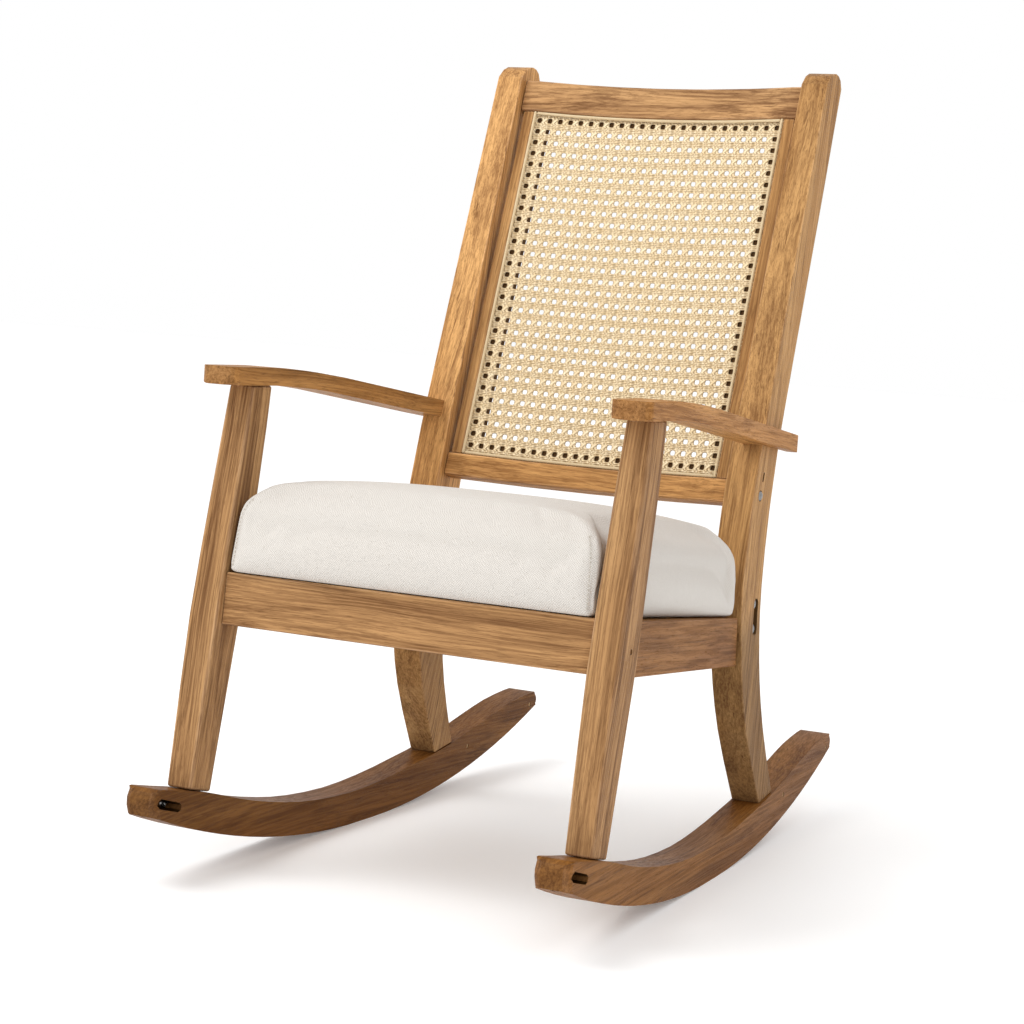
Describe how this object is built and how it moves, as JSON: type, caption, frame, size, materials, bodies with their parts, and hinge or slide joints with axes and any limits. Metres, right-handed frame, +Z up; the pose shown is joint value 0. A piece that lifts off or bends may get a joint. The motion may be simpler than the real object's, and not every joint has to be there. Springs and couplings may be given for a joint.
{
  "type": "rocking chair",
  "caption": "Wooden rocking chair with sawn posts on curved rockers, slim arms, a bowed cane back panel and a loose box seat cushion.",
  "frame": {"origin": "on the floor under the middle of the chair's outline, at rest on its rockers", "axes": "+Z up, the chair faces -Y, +X is the sitter's left"},
  "size_m": [0.5924, 1.0784, 1.0849],
  "materials": {
    "oak_light": "satin oiled oak, paler pinkish brown",
    "oak_warm": "satin oiled oak, golden brown",
    "oak_dark": "satin oiled oak, darker brown",
    "oak_hidden": "plain sanded oak, unfinished",
    "cane": "natural straw-coloured cane webbing",
    "spline_reed": "pale reed bead",
    "linen": "ivory slubby linen weave",
    "steel": "zinc plated"
  },
  "bodies": {
    "chair_frame": {"arm_dowel_left": "oak_hidden", "arm_dowel_right": "oak_hidden", "arm_left": "oak_warm", "arm_right": "oak_warm", "back_post_left": "oak_light", "back_post_right": "oak_light", "back_rail_bolt_left": "steel", "back_rail_bolt_right": "steel", "cane_panel": "cane", "cane_spline_left": "spline_reed", "cane_spline_lower": "spline_reed", "cane_spline_right": "spline_reed", "cane_spline_upper": "spline_reed", "cane_stile_left": "oak_light", "cane_stile_right": "oak_light", "corner_block_front_left": "oak_hidden", "corner_block_front_right": "oak_hidden", "corner_block_rear_left": "oak_hidden", "corner_block_rear_right": "oak_hidden", "crest_rail": "oak_light", "front_leg_left": "oak_light", "front_leg_right": "oak_light", "front_seat_rail": "oak_warm", "leg_plug_left": "oak_dark", "leg_plug_right": "oak_dark", "lower_back_rail": "oak_warm", "rear_rail_bolt_lower_left": "steel", "rear_rail_bolt_lower_right": "steel", "rear_rail_bolt_upper_left": "steel", "rear_rail_bolt_upper_right": "steel", "rear_seat_rail": "oak_warm", "rocker_left": "oak_dark", "rocker_pin_heel_left": "oak_dark", "rocker_pin_heel_right": "oak_dark", "rocker_pin_tail_left": "oak_dark", "rocker_pin_tail_right": "oak_dark", "rocker_right": "oak_dark", "rocker_screw_left": "steel", "rocker_screw_right": "steel", "seat_cleat_left": "oak_hidden", "seat_cleat_right": "oak_hidden", "seat_slat_1": "oak_hidden", "seat_slat_2": "oak_hidden", "seat_slat_3": "oak_hidden", "seat_slat_4": "oak_hidden", "seat_slat_5": "oak_hidden", "side_seat_rail_left": "oak_warm", "side_seat_rail_right": "oak_warm", "slat_screw_2_left": "steel", "slat_screw_2_right": "steel", "slat_screw_3_left": "steel", "slat_screw_3_right": "steel", "slat_screw_4_left": "steel", "slat_screw_4_right": "steel"},
    "cushion": {"seat_cushion": "linen"}
  },
  "joints": [
    {"name": "seat_cushion_lift", "type": "slide", "parent": "chair_frame", "child": "cushion", "axis": [0, 0.0863, 0.9963], "range_m": [0, 0.09]}
  ]
}
